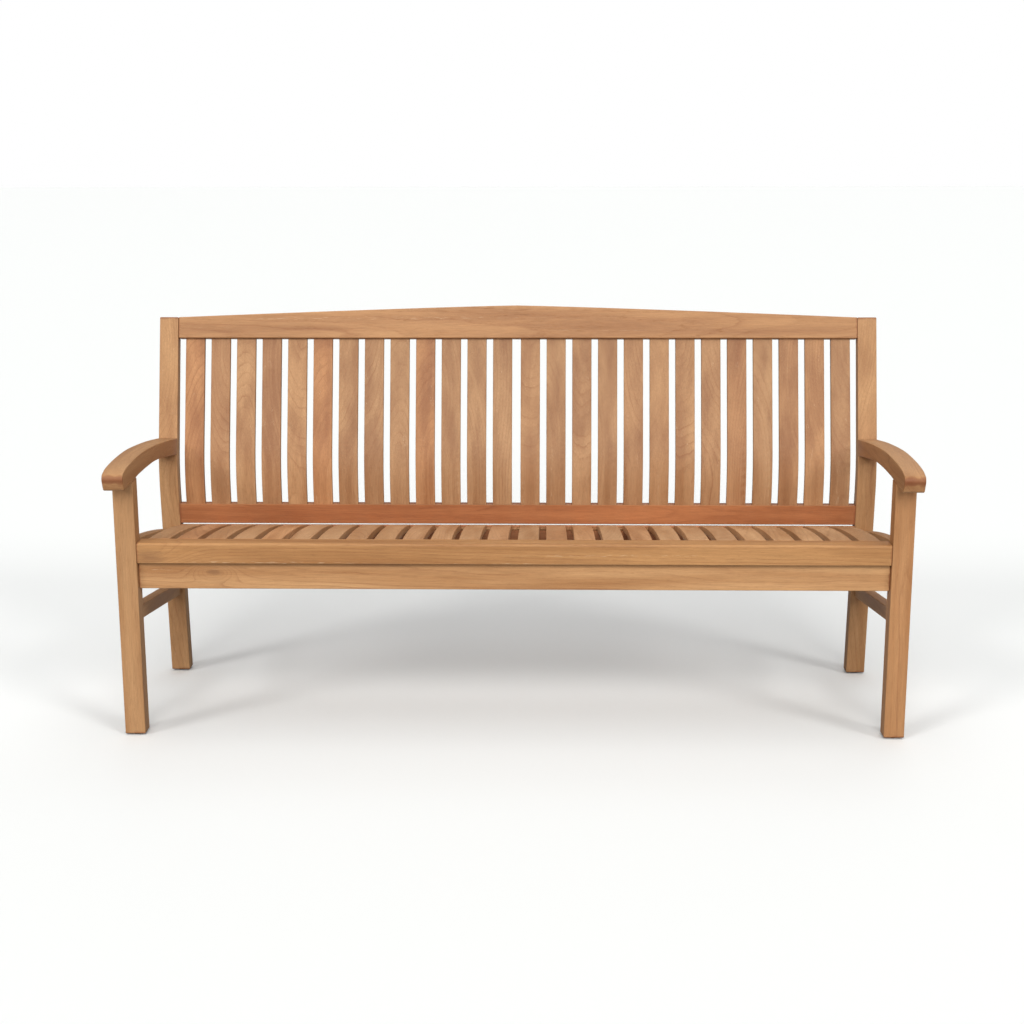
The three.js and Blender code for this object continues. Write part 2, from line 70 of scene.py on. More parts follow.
# %% [markdown]
# ## The camera
# A bench is seen from standing height, a few steps back, a little to the right of
# its middle. A 57 mm lens keeps the legs nearly upright. The place is given from the middle
# of the bench's box, so that it follows if the design moves.

# %% Place the camera
CAMERA_FROM_MIDDLE = Vector((0.0744, -3.8036, 1.3227))
CAMERA_DOWN = 0.21802
CAMERA_LEFT = 0.0212
CAMERA_ROLL = 0.00174
LENS_MM = 57.216

middle = (cad_box[0] + cad_box[1]) / 2
camera = bpy.data.objects.new("camera", bpy.data.cameras.new("camera"))
camera.data.lens = LENS_MM
camera.data.sensor_width = 36
camera.location = Vector((middle.x, middle.y, 0)) + CAMERA_FROM_MIDDLE
aim = Euler((math.pi / 2 - CAMERA_DOWN, 0, CAMERA_LEFT), "XYZ").to_matrix()
roll = Euler((0, 0, -CAMERA_ROLL), "XYZ").to_matrix()
camera.rotation_euler = (aim @ roll).to_euler()
bpy.context.collection.objects.link(camera)
bpy.context.scene.camera = camera
print("camera height:", round(camera.location.z, 3), "m")

# %% [markdown]
# ## Small helpers for nodes
# A shader or a geometry tree is a list of nodes and links. Two short functions keep the code
# readable: one adds a node with its settings and inputs, and one adds a Math node and gives
# back its result. An input takes either a plain value or another node's output.

# %% Node helpers
def add(tree, kind, inputs=None, **settings):
    made = tree.nodes.new(kind)
    for name, value in settings.items():
        setattr(made, name, value)
    for key, value in (inputs or {}).items():
        if isinstance(value, bpy.types.NodeSocket):
            tree.links.new(value, made.inputs[key])
        else:
            made.inputs[key].default_value = value
    return made


def calc(tree, operation, *values):
    inputs = dict(enumerate(values))
    return add(tree, "ShaderNodeMath", inputs, operation=operation).outputs[0]


def fade(tree, value, low, high, start=0.0, end=1.0):
    """start at low, end at high, and a smooth step in between."""
    inputs = {"Value": value, "From Min": low, "From Max": high, "To Min": start, "To Max": end}
    step = add(tree, "ShaderNodeMapRange", inputs, interpolation_type="SMOOTHSTEP")
    return step.outputs["Result"]


def new_group(name, kind, sockets_in, sockets_out):
    """A node group with named inputs and outputs, and its input and output nodes."""
    tree = bpy.data.node_groups.new(name, kind)
    for label, (socket_type, value) in sockets_in.items():
        socket = tree.interface.new_socket(label, in_out="INPUT", socket_type=socket_type)
        if value is not None:
            socket.default_value = value
    for label, socket_type in sockets_out.items():
        tree.interface.new_socket(label, in_out="OUTPUT", socket_type=socket_type)
    return tree, tree.nodes.new("NodeGroupInput").outputs, tree.nodes.new("NodeGroupOutput").inputs


FLOAT = "NodeSocketFloat"
VECTOR = "NodeSocketVector"
COLOR = "NodeSocketColor"
print("node helpers ready")

# %% [markdown]
# ## The studio
# A pale floor, a white surround and soft light. The widest lamp stands straight in front, so
# the faces that look forward are bright and the sides of the slats and legs fall away into a
# red brown. Two smaller lamps to the sides draw the soft shadows that run back and outwards
# from each leg. Two from above give the arms and the seat their paler tone and spread the
# shadow under the bench to the front, and one from behind keeps the back readable. The
# surround is much dimmer as a light than it looks.

# %% Floor and light
FLOOR_HALF = 60.0
FLOOR_GREY = 0.835
FLOOR_BOUNCE = 0.42
FLOOR_COOLER = 1.02
SURROUND_LIGHT = 0.13
SURROUND_SEEN = 1.0


def lamp(name, azimuth, elevation, strength, softness, tint):
    """A distant soft lamp. Azimuth 0 is straight in front of the bench, and 90 is on its right."""
    data = bpy.data.lights.new(name, "SUN")
    data.energy = strength
    data.angle = math.radians(softness)
    data.color = tint
    made = bpy.data.objects.new(name, data)
    turn, lift = math.radians(azimuth), math.radians(elevation)
    level = math.cos(lift)
    towards = Vector((math.sin(turn) * level, -math.cos(turn) * level, math.sin(lift)))
    made.rotation_euler = towards.to_track_quat("Z", "Y").to_euler()
    bpy.context.collection.objects.link(made)
    return made


WARM_WHITE = (1.0, 0.985, 0.96)
lamp("front", 0, 28, 1.80, 32, WARM_WHITE)
lamp("key_left", -46, 31, 0.92, 16, WARM_WHITE)
lamp("key_right", 46, 31, 0.88, 16, WARM_WHITE)
lamp("overhead", 0, 78, 0.96, 50, (1, 1, 1))
lamp("high_behind", 180, 70, 0.42, 50, (1, 1, 1))
lamp("behind", 170, 38, 0.42, 50, (1, 1, 1))

floor_mesh = bpy.data.meshes.new("floor")
corners = [(x * FLOOR_HALF, y * FLOOR_HALF, 0) for x, y in ((-1, -1), (1, -1), (1, 1), (-1, 1))]
floor_mesh.from_pydata(corners, [], [(0, 1, 2, 3)])
floor = bpy.data.objects.new("floor", floor_mesh)
bpy.context.collection.objects.link(floor)
floor_paint = bpy.data.materials.new("studio_floor")
floor_paint.use_nodes = True
floor_shader = floor_paint.node_tree.nodes["Principled BSDF"]
seen = add(floor_paint.node_tree, "ShaderNodeLightPath").outputs["Is Camera Ray"]
grey = calc(floor_paint.node_tree, "MULTIPLY_ADD", seen, FLOOR_GREY - FLOOR_BOUNCE, FLOOR_BOUNCE)
cooler = calc(floor_paint.node_tree, "MULTIPLY", grey, FLOOR_COOLER)
pale = add(floor_paint.node_tree, "ShaderNodeCombineColor", {0: grey, 1: cooler, 2: cooler})
floor_paint.node_tree.links.new(pale.outputs[0], floor_shader.inputs["Base Color"])
floor_shader.inputs["Roughness"].default_value = 0.9
floor_shader.inputs["Specular IOR Level"].default_value = 0.1
floor_mesh.materials.append(floor_paint)

world = bpy.data.worlds.new("surround")
world.use_nodes = True
bpy.context.scene.world = world
air = world.node_tree
air.nodes.clear()
path = add(air, "ShaderNodeLightPath")
glow = calc(air, "MULTIPLY_ADD", path.outputs["Is Camera Ray"],
            SURROUND_SEEN - SURROUND_LIGHT, SURROUND_LIGHT)
sky = add(air, "ShaderNodeBackground", {"Color": (1, 1, 1, 1), "Strength": glow})
add(air, "ShaderNodeOutputWorld", {"Surface": sky.outputs[0]})
bpy.context.scene.view_settings.view_transform = "Standard"

# %% [markdown]
# ## Teak: what the figure is
# A log is a stack of cones round its pith, one for each year. A board is a flat cut through
# them. Where the cut runs through the middle the rings show as straight lines, and where it
# only grazes them they show as arches and closed loops. So the figure is not painted: the
# material works out how far each point of a board is from the pith of its own log, and the
# arches, the straight lines and the end grain all follow from the shape of the board.
#
# Each board carries its place in its plank as an attribute (along the grain, across, through)
# and a number of its own that says where in the log it was cut. A board may also carry a
# knot: the rings swell into closed loops round it and its core is grey brown. Mineral specks
# in the pores, which teak is known for, show as rows of chalky dashes.

# %% The figure of the wood, as a node group
FAR_APART = (37.0, 53.0, 71.0)
PITH_NEAR = 0.03
PITH_FAR = 0.10
KNOT_RINGS = 6.0
KNOT_SHAPE = (0.45, 1.0, 1.0)
TRUNK_LEAN = 0.035
EARLY_SHARPNESS = 6.0
figure, given, result = new_group(
    "teak_figure", "ShaderNodeTree",
    {
        "Plank": (VECTOR, None), "Seed": (FLOAT, 0.0), "Ring": (FLOAT, 0.006),
        "Wander": (FLOAT, 0.02), "Knot": (VECTOR, None), "Knot Size": (FLOAT, 0.0),
    },
    {
        "Line": FLOAT, "Tone": FLOAT, "Fibre": FLOAT, "Pore": FLOAT, "Streak": FLOAT,
        "Core": FLOAT, "Chalk": FLOAT, "Luck": COLOR,
    },
)


def stretched(tree, place, along, across, detail=2.0, rough=0.5):
    """Noise whose spots are long along the grain: `along` and `across` are spots per metre."""
    scale = add(tree, "ShaderNodeVectorMath", {0: place, 1: (along, across, across)},
                operation="MULTIPLY")
    inputs = {"Vector": scale.outputs[0], "Scale": 1.0, "Detail": detail, "Roughness": rough}
    return add(tree, "ShaderNodeTexNoise", inputs).outputs


luck = add(figure, "ShaderNodeTexWhiteNoise", {"W": given["Seed"]}, noise_dimensions="1D")
lucks = add(figure, "ShaderNodeSeparateColor", {0: luck.outputs["Color"]}).outputs
apart = add(figure, "ShaderNodeVectorMath",
            {0: luck.outputs["Color"], 1: FAR_APART}, operation="MULTIPLY")
spot = add(figure, "ShaderNodeVectorMath",
           {0: given["Plank"], 1: apart.outputs[0]}, operation="ADD").outputs[0]

plank = add(figure, "ShaderNodeSeparateXYZ", {0: given["Plank"]}).outputs
turn = calc(figure, "MULTIPLY", lucks[0], 2 * math.pi)
reach = calc(figure, "MULTIPLY_ADD", lucks[1], PITH_FAR - PITH_NEAR, PITH_NEAR)
drift = add(figure, "ShaderNodeSeparateColor", {0: stretched(figure, spot, 2.0, 7.0)["Color"]}).outputs
lean = calc(figure, "MULTIPLY_ADD", lucks[2], 2 * TRUNK_LEAN, -TRUNK_LEAN)


def from_pith(coordinate, side, drifted):
    """Distance from the pith along one cross direction, with the wander of the trunk."""
    centre = calc(figure, "MULTIPLY", calc(figure, side, turn), reach)
    wander = calc(figure, "MULTIPLY", calc(figure, "SUBTRACT", drifted, 0.5), given["Wander"])
    leaning = calc(figure, "MULTIPLY_ADD", plank[0], lean, centre)
    return calc(figure, "ADD", calc(figure, "ADD", coordinate, leaning), wander)


side_a = from_pith(plank[1], "COSINE", drift[0])
side_b = from_pith(plank[2], "SINE", drift[1])
squares = [calc(figure, "MULTIPLY", side, side) for side in (side_a, side_b)]
radius = calc(figure, "SQRT", calc(figure, "ADD", *squares))
ragged = stretched(figure, spot, 9.0, 90.0, 3.0)[0]
years = calc(figure, "MULTIPLY_ADD", ragged, 0.6, calc(figure, "DIVIDE", radius, given["Ring"]))

away = add(figure, "ShaderNodeVectorMath", {0: given["Plank"], 1: given["Knot"]},
           operation="SUBTRACT").outputs[0]
oval = add(figure, "ShaderNodeVectorMath", {0: away, 1: KNOT_SHAPE}, operation="MULTIPLY")
distance = add(figure, "ShaderNodeVectorMath", {0: oval.outputs[0]}, operation="LENGTH").outputs[1]
from_knot = calc(figure, "DIVIDE", distance, calc(figure, "MAXIMUM", given["Knot Size"], 0.0001))
swell = calc(figure, "EXPONENT", calc(figure, "MULTIPLY", calc(figure, "POWER", from_knot, 2.0), -1.0))
years = calc(figure, "MULTIPLY_ADD", swell, KNOT_RINGS, years)
smoky = stretched(figure, spot, 18.0, 70.0, 4.0, 0.6)[0]
core = fade(figure, calc(figure, "MULTIPLY_ADD", smoky, 0.9, from_knot), 1.0, 0.6)
year = calc(figure, "FLOOR", years)
season = calc(figure, "FRACT", years)
year_luck = add(figure, "ShaderNodeTexWhiteNoise",
                {"W": calc(figure, "ADD", year, given["Seed"])}, noise_dimensions="1D").outputs
early = calc(figure, "POWER", calc(figure, "SUBTRACT", 1.0, season), EARLY_SHARPNESS)
early = calc(figure, "MULTIPLY", early, fade(figure, season, 0.0, 0.10))
strength = fade(figure, year_luck["Value"], 0.15, 1.0, 0.12, 1.0)
patchy = fade(figure, stretched(figure, spot, 3.0, 24.0)[0], 0.34, 0.58, 0.45, 1.0)
line = calc(figure, "MULTIPLY", calc(figure, "MULTIPLY", early, strength), patchy)

broad = stretched(figure, spot, 1.6, 26.0, 3.0)[0]
ring_tone = calc(figure, "MULTIPLY_ADD", year_luck["Value"], 0.22, -0.11)
tone = calc(figure, "ADD", fade(figure, broad, 0.25, 0.75), ring_tone)
fibre = stretched(figure, spot, 26.0, 620.0, 3.0, 0.6)[0]
pore_noise = stretched(figure, spot, 75.0, 1500.0, 1.0)[0]
pore = calc(figure, "MULTIPLY", fade(figure, pore_noise, 0.60, 0.72),
            fade(figure, season, 0.75, 0.0, 0.35, 1.0))
streak = fade(figure, stretched(figure, spot, 2.4, 42.0, 4.0, 0.62)[0], 0.62, 0.80)
dashes = fade(figure, stretched(figure, spot, 45.0, 700.0, 2.0)[0], 0.56, 0.66)
rows = fade(figure, stretched(figure, spot, 0.9, 75.0, 1.0)[0], 0.66, 0.74)
chalk = calc(figure, "MULTIPLY", dashes, rows)
for label, value in {"Line": line, "Tone": tone, "Fibre": fibre, "Pore": pore, "Streak": streak,
                     "Core": core, "Chalk": chalk, "Luck": luck.outputs["Color"]}.items():
    figure.links.new(value, result[label])
print("figure group:", len(figure.nodes), "nodes")

# %% [markdown]
# ## Rubbed edges and painted joint shade
# Oil and hands change a board near its arrises: the rounded edge is rubbed a little paler.
# Where two boards meet, the line of the joint is darkened with painted shade. Each board
# carries its distance from its own six sides, so the group can tell how near the closest
# arris is. An arris is where two of the three distances are small, which is the second
# smallest of the three. The joint is the third case, the distance from the end.

# %% The rub and the painted joint shade, as a node group
rub_and_shade, given, result = new_group(
    "rubbed_edges_and_joint_shade", "ShaderNodeTree",
    {
        "Skin": (VECTOR, None), "Half": (VECTOR, None), "Plank": (VECTOR, None),
        "Edge Width": (FLOAT, 0.003), "Joint Width": (FLOAT, 0.006),
    },
    {"Rubbed": FLOAT, "Joint": FLOAT},
)
offset = add(rub_and_shade, "ShaderNodeVectorMath", {0: given["Skin"]}, operation="ABSOLUTE").outputs[0]
room = add(rub_and_shade, "ShaderNodeVectorMath", {0: given["Half"], 1: offset}, operation="SUBTRACT")
side = add(rub_and_shade, "ShaderNodeSeparateXYZ", {0: room.outputs[0]}).outputs
least = calc(rub_and_shade, "MINIMUM", side[0], side[1])
most = calc(rub_and_shade, "MAXIMUM", side[0], side[1])
second = calc(rub_and_shade, "MAXIMUM", least, calc(rub_and_shade, "MINIMUM", most, side[2]))
patch = stretched(rub_and_shade, given["Plank"], 30.0, 60.0, 3.0)[0]
rub_reach = calc(rub_and_shade, "MULTIPLY", given["Edge Width"], fade(rub_and_shade, patch, 0.3, 0.7, 0.5, 1.6))
rubbed = fade(rub_and_shade, second, 0.0, rub_reach, 1.0, 0.0)
# Painted shade: the colour darkens near each end of a board, in the line of the joint.
shade_reach = calc(rub_and_shade, "MULTIPLY", given["Joint Width"], fade(rub_and_shade, patch, 0.3, 0.7, 0.5, 1.5))
joint = fade(rub_and_shade, side[0], 0.0, shade_reach, 1.0, 0.0)
rub_and_shade.links.new(rubbed, result["Rubbed"])
rub_and_shade.links.new(joint, result["Joint"])
print("edge group:", len(rub_and_shade.nodes), "nodes")

# %% [markdown]
# ## The teak materials
# One recipe serves every board, with its own colours for each family of boards: the frame is
# golden, the long rails have a wider figure, the boards behind the seat are redder, and the
# slats, sawn from offcuts, differ most from one to the next. Colour goes from a red-brown to
# a honey tone by the broad tone of the figure, each board is then a little redder or paler as
# a whole, and the early wood, pores, rare mineral streaks, chalky specks and the cores of
# knots are laid over it. End grain drinks more oil and turns darker.

# %% Teak recipe
def linear(red, green, blue):
    """A colour as the eye names it, 0 to 255, as the light values that shaders use."""
    parts = [value / 255 for value in (red, green, blue)]
    return tuple(p / 12.92 if p < 0.04045 else ((p + 0.055) / 1.055) ** 2.4 for p in parts) + (1,)


def blend(tree, factor, first, second, mode="MIX"):
    """Two colours mixed by a factor. Sockets 0, 6 and 7 are a colour mix's factor, A and B."""
    mix = tree.nodes.new("ShaderNodeMix")
    mix.data_type = "RGBA"
    mix.blend_type = mode
    for index, value in ((0, factor), (6, first), (7, second)):
        if isinstance(value, bpy.types.NodeSocket):
            tree.links.new(value, mix.inputs[index])
        else:
            mix.inputs[index].default_value = value
    return mix.outputs[2]


EARLY_WOOD = linear(122, 66, 34)
MINERAL = linear(104, 70, 50)
RED_CAST = linear(252, 236, 226)
CHALK = linear(238, 214, 178)
# The colour of the shade painted into the joint lines at the boards' ends.
PAINTED_JOINT_SHADE = linear(116, 54, 26)
RUB = linear(222, 178, 130)
END_CAST = linear(236, 214, 190)
PALER = (1.13, 1.12, 1.08, 1)
STREAK_AMOUNT = 0.28
CORE_AMOUNT = 0.42
PORE_AMOUNT = 0.30
END_AMOUNT = 0.35
RUB_AMOUNT = 0.14
GRAIN_RELIEF = 0.4 * MM


def teak(name, deep, honey, ring, wander, lines, joints, chalk, variety=0.6):
    """Teak between a deep and a honey tone. `ring` is the width of a year in metres, and the
    other numbers say how strongly the trunk wanders and how strongly each mark shows."""
    paint = bpy.data.materials.new(name)
    paint.use_nodes = True
    tree = paint.node_tree
    shader = tree.nodes["Principled BSDF"]
    read = {}
    for label in ("plank", "skin", "half", "seed", "endgrain", "knot", "knot_size"):
        read[label] = add(tree, "ShaderNodeAttribute", attribute_name=label).outputs
    wood = add(tree, "ShaderNodeGroup", node_tree=figure)
    edge = add(tree, "ShaderNodeGroup", node_tree=rub_and_shade)
    tree.links.new(read["plank"]["Vector"], wood.inputs["Plank"])
    tree.links.new(read["seed"]["Fac"], wood.inputs["Seed"])
    tree.links.new(read["knot"]["Vector"], wood.inputs["Knot"])
    tree.links.new(read["knot_size"]["Fac"], wood.inputs["Knot Size"])
    wood.inputs["Ring"].default_value = ring
    wood.inputs["Wander"].default_value = wander
    tree.links.new(read["skin"]["Vector"], edge.inputs["Skin"])
    tree.links.new(read["half"]["Vector"], edge.inputs["Half"])
    tree.links.new(read["plank"]["Vector"], edge.inputs["Plank"])
    own = add(tree, "ShaderNodeSeparateColor", {0: wood.outputs["Luck"]}).outputs
    end = read["endgrain"]["Fac"]

    color = blend(tree, wood.outputs["Tone"], deep, honey)
    red = calc(tree, "MULTIPLY", fade(tree, own[0], 0.45, 1.0), variety)
    color = blend(tree, red, color, RED_CAST, "MULTIPLY")
    pale = calc(tree, "MULTIPLY", fade(tree, own[2], 0.5, 1.0), variety)
    color = blend(tree, pale, color, blend(tree, 1.0, color, PALER, "MULTIPLY"))
    fibre = fade(tree, wood.outputs["Fibre"], 0.25, 0.75, 0.87, 1.10)
    grey = add(tree, "ShaderNodeCombineColor", {0: fibre, 1: fibre, 2: fibre}).outputs[0]
    color = blend(tree, 1.0, color, grey, "MULTIPLY")
    color = blend(tree, calc(tree, "MULTIPLY", wood.outputs["Line"], lines), color, EARLY_WOOD)
    color = blend(tree, calc(tree, "MULTIPLY", wood.outputs["Streak"], STREAK_AMOUNT), color, MINERAL)
    color = blend(tree, calc(tree, "MULTIPLY", wood.outputs["Core"], CORE_AMOUNT), color, MINERAL)
    color = blend(tree, calc(tree, "MULTIPLY", wood.outputs["Pore"], PORE_AMOUNT), color, EARLY_WOOD)
    color = blend(tree, calc(tree, "MULTIPLY", wood.outputs["Chalk"], chalk), color, CHALK)
    color = blend(tree, calc(tree, "MULTIPLY", end, END_AMOUNT), color,
                  blend(tree, 1.0, color, END_CAST, "MULTIPLY"))
    color = blend(tree, calc(tree, "MULTIPLY", edge.outputs["Rubbed"], RUB_AMOUNT), color, RUB)
    # Painted shade: each board darkens towards its ends, in the line of the joint.
    color = blend(tree, calc(tree, "MULTIPLY", edge.outputs["Joint"], joints), color, PAINTED_JOINT_SHADE)
    tree.links.new(color, shader.inputs["Base Color"])

    rough = fade(tree, wood.outputs["Tone"], 0.0, 1.0, 0.50, 0.60)
    rough = calc(tree, "MULTIPLY_ADD", wood.outputs["Pore"], 0.15, rough)
    rough = calc(tree, "MULTIPLY_ADD", edge.outputs["Rubbed"], -0.08, rough)
    tree.links.new(calc(tree, "MULTIPLY_ADD", end, 0.12, rough), shader.inputs["Roughness"])
    shader.inputs["Specular IOR Level"].default_value = 0.35
    height = calc(tree, "MULTIPLY_ADD", wood.outputs["Fibre"], 0.5,
                  calc(tree, "MULTIPLY", wood.outputs["Line"], -0.6))
    height = calc(tree, "MULTIPLY_ADD", wood.outputs["Pore"], -0.8, height)
    bump = add(tree, "ShaderNodeBump", {"Height": height, "Distance": GRAIN_RELIEF, "Strength": 0.7})
    tree.links.new(bump.outputs[0], shader.inputs["Normal"])
    return paint


frame_teak = teak("frame_teak", linear(154, 109, 69), linear(186, 143, 100),
                  ring=0.0065, wander=0.030, lines=0.75, joints=0.65, chalk=0.2)
rail_teak = teak("rail_teak", linear(162, 115, 72), linear(196, 152, 106),
                 ring=0.0075, wander=0.036, lines=0.80, joints=0.70, chalk=0.6)
nosing_teak = teak("nosing_teak", linear(148, 101, 58), linear(180, 133, 85),
                   ring=0.0080, wander=0.040, lines=0.70, joints=0.65, chalk=0.35)
red_teak = teak("red_teak", linear(146, 90, 56), linear(174, 116, 75),
                ring=0.0060, wander=0.020, lines=0.85, joints=0.60, chalk=0.1, variety=0.5)
slat_teak = teak("slat_teak", linear(145, 102, 67), linear(178, 138, 100),
                 ring=0.0070, wander=0.030, lines=0.75, joints=0.45, chalk=0.25, variety=1.0)
seat_teak = teak("seat_teak", linear(164, 119, 79), linear(198, 157, 116),
                 ring=0.0070, wander=0.030, lines=0.75, joints=0.45, chalk=0.25, variety=1.0)
print("materials:", [m.name for m in bpy.data.materials])

# %% [markdown]
# ## From the design to a board
# The design's boards are loose triangles with sharp edges. A copy is merged into clean faces.
# Its largest flat face is the outline that was cut on the bandsaw, and that outline gives both
# the size of the board without its tenons, and where its two curved sides are. From these
# every point gets its place in the plank and its distance from the board's skin.

# %% Copy and measure a board
AXIS = {"x": 0, "y": 1, "z": 2}
SAME_POINT = 0.01 * MM
FLAT_ANGLE = math.radians(0.1)


def merged_copy(node):
    """The node's shape as a bmesh with its shared points merged and its flat faces whole."""
    shape = bmesh.new()
    shape.from_mesh(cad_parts[node].data)
    bmesh.ops.remove_doubles(shape, verts=shape.verts, dist=SAME_POINT)
    bmesh.ops.dissolve_limit(shape, angle_limit=FLAT_ANGLE, verts=shape.verts, edges=shape.edges)
    shape.normal_update()
    return shape


def points_of(corners):
    return np.array([v.co[:] for v in corners])


def turned(points, lean):
    """Points turned about the X axis, so that a board that leans back by `lean` stands upright."""
    c, s = math.cos(lean), math.sin(lean)
    out = points.copy()
    out[:, 1] = c * points[:, 1] - s * points[:, 2]
    out[:, 2] = s * points[:, 1] + c * points[:, 2]
    return out


class Board:
    """Where a board's wood is. `grain` is the axis along it, `sawn` the axis in which its
    outline was cut, and the third axis is its thickness."""

    def __init__(self, outline, grain, sawn, thickness, lean=0.0):
        self.grain = AXIS[grain]
        self.sawn = AXIS[sawn]
        self.through = 3 - self.grain - self.sawn
        self.lean = lean
        self.thickness = thickness
        self.outline = outline[:, [self.grain, self.sawn]]
        self.ends = (self.outline[:, 0].min(), self.outline[:, 0].max())
        self.measure_sides()

    def measure_sides(self):
        """The low and the high side of the outline at places along the grain."""
        a, b = self.outline.T
        a2, b2 = np.roll(a, -1), np.roll(b, -1)
        aside = 0.01 * MM
        corners = np.unique(np.concatenate([a - aside, a + aside]))
        self.places = corners[(corners > a.min()) & (corners < a.max())]
        low, high = [], []
        for place in self.places:
            cut = (a - place) * (a2 - place) <= 0
            hits = b[cut] + (place - a[cut]) / (a2[cut] - a[cut]) * (b2[cut] - b[cut])
            low.append(hits.min())
            high.append(hits.max())
        self.low, self.high = np.array(low), np.array(high)
        length = self.ends[1] - self.ends[0]
        depth = float(np.median(self.high - self.low))
        self.half = np.array([length, depth, self.thickness[1] - self.thickness[0]]) / 2

    def split(self, points):
        """Coordinates along the grain, across the outline and through the board."""
        p = turned(points, self.lean)
        return p[:, self.grain], p[:, self.sawn], p[:, self.through]

    def plank(self, points):
        """Place in the straight plank that the board was sawn from."""
        along, across, deep = self.split(points)
        centre = (float(self.low.min()) + float(self.high.max())) / 2
        return np.column_stack([along - sum(self.ends) / 2, across - centre,
                                deep - sum(self.thickness) / 2])

    def skin(self, points):
        """Place between the board's own sides, which may be curved."""
        along, across, deep = self.split(points)
        centred = along - sum(self.ends) / 2
        inside = along - centred * 2e-4
        low = np.interp(inside, self.places, self.low)
        high = np.interp(inside, self.places, self.high)
        share = (across - (low + high) / 2) / np.maximum(high - low, MM)
        return np.column_stack([centred, share * 2 * self.half[1], deep - sum(self.thickness) / 2])

    def outside(self, points, near):
        """Whether each point lies on the board's outline or on one of its two flat sides."""
        along, across, deep = self.split(points)
        flat = np.minimum(abs(deep - self.thickness[0]), abs(deep - self.thickness[1])) < near
        start, end = self.outline, np.roll(self.outline, -1, axis=0)
        edge = end - start
        place = np.column_stack([along, across])[:, None, :]
        share = ((place - start) * edge).sum(axis=2) / (edge ** 2).sum(axis=1)
        closest = start + np.clip(share, 0, 1)[..., None] * edge
        gap = np.linalg.norm(place - closest, axis=2).min(axis=1)
        return flat | (gap < near)


def board_of(shape, grain, sawn, lean=0.0):
    """Measures the board: its outline is its largest flat face that faces its thickness."""
    through = ({0, 1, 2} - {AXIS[grain], AXIS[sawn]}).pop()

    def faces_through(face):
        normal = turned(np.array([face.normal[:]]), lean)[0]
        return abs(normal[through]) > 0.99

    face = max((f for f in shape.faces if faces_through(f)), key=lambda f: f.calc_area())
    deep = turned(points_of(shape.verts), lean)[:, through]
    outline = turned(points_of(face.verts), lean)
    return Board(outline, grain, sawn, (deep.min(), deep.max()), lean)


print("board helpers ready")

# %% [markdown]
# ## Rounded arrises
# Every edge that a hand can reach is rounded to about two and a half millimetres. That is
# what draws the dark lines at the joints, because two rounded edges meet in a small groove.
# Only the arrises are rounded: an edge counts when both faces beside it lie on the board's
# skin, so the tenons and the mortises inside the joints stay as they were cut. Faces with a
# groove or a housing in them are first split into convex ones, which round without folding.

# %% Round, smooth and mark a board
ARRIS = 2.4 * MM
ARRIS_STEPS = 3
ON_SKIN = 0.4 * MM
SHARP = math.radians(26)


def mark_arrises(shape, board, weight_of):
    """Gives each arris its share of the rounding, and keeps other corners sharp."""
    shape.verts.index_update()
    outer = board.outside(points_of(shape.verts), ON_SKIN)
    skin_faces = {f for f in shape.faces if all(outer[v.index] for v in f.verts)}
    weights = shape.edges.layers.float.new("bevel_weight_edge")
    count = 0
    for edge in shape.edges:
        if len(edge.link_faces) != 2 or edge.calc_face_angle(0) < SHARP:
            continue
        weight = weight_of(edge)
        if weight and edge.is_convex and all(f in skin_faces for f in edge.link_faces):
            edge[weights] = weight
            count += 1
        else:
            edge.smooth = False
    return count


def finish_board(name, shape):
    """The rounded board as a plain mesh."""
    rough = bpy.data.meshes.new(name)
    for face in shape.faces:
        face.smooth = True
    shape.to_mesh(rough)
    shape.free()
    bench_part = bpy.data.objects.new(name, rough)
    bpy.context.collection.objects.link(bench_part)
    bevel = bench_part.modifiers.new("arris", "BEVEL")
    bevel.limit_method = "WEIGHT"
    bevel.width = ARRIS
    bevel.segments = ARRIS_STEPS
    bevel.use_clamp_overlap = False
    bevel.miter_outer = "MITER_ARC"
    normals = bench_part.modifiers.new("flats", "WEIGHTED_NORMAL")
    normals.keep_sharp = True
    normals.weight = 100
    ready = bench_part.evaluated_get(bpy.context.evaluated_depsgraph_get())
    mesh = bpy.data.meshes.new_from_object(ready, preserve_all_data_layers=True,
                                           depsgraph=bpy.context.evaluated_depsgraph_get())
    bench_part.modifiers.clear()
    bench_part.data = mesh
    bpy.data.meshes.remove(rough)
    mesh.name = name
    return bench_part


def store(mesh, label, kind, domain, values, field):
    layer = mesh.attributes.new(label, kind, domain)
    layer.data.foreach_set(field, np.ascontiguousarray(values, dtype=np.float32).ravel())


def mark_wood(mesh, board, seed, knot=(0, 0, 0), knot_size=0.0):
    """Stores the wood coordinates that the teak materials read."""
    points = np.empty(len(mesh.vertices) * 3, np.float32)
    mesh.vertices.foreach_get("co", points)
    points = points.reshape(-1, 3).astype(float)
    half = np.tile(board.half, (len(points), 1))
    store(mesh, "plank", "FLOAT_VECTOR", "POINT", board.plank(points), "vector")
    store(mesh, "skin", "FLOAT_VECTOR", "POINT", board.skin(points), "vector")
    store(mesh, "half", "FLOAT_VECTOR", "POINT", half, "vector")
    centre = np.tile(board.half * np.array(knot), (len(points), 1))
    store(mesh, "knot", "FLOAT_VECTOR", "POINT", centre, "vector")
    store(mesh, "knot_size", "FLOAT", "POINT", np.full(len(points), float(knot_size)), "value")
    if seed is not None:
        store(mesh, "seed", "FLOAT", "POINT", np.full(len(points), float(seed)), "value")
    normals = turned(np.array([n.vector[:] for n in mesh.corner_normals]), board.lean)
    ends = np.abs(normals[:, board.grain]) ** 2
    store(mesh, "endgrain", "FLOAT", "CORNER", ends, "value")


print("arris:", ARRIS / MM, "mm")

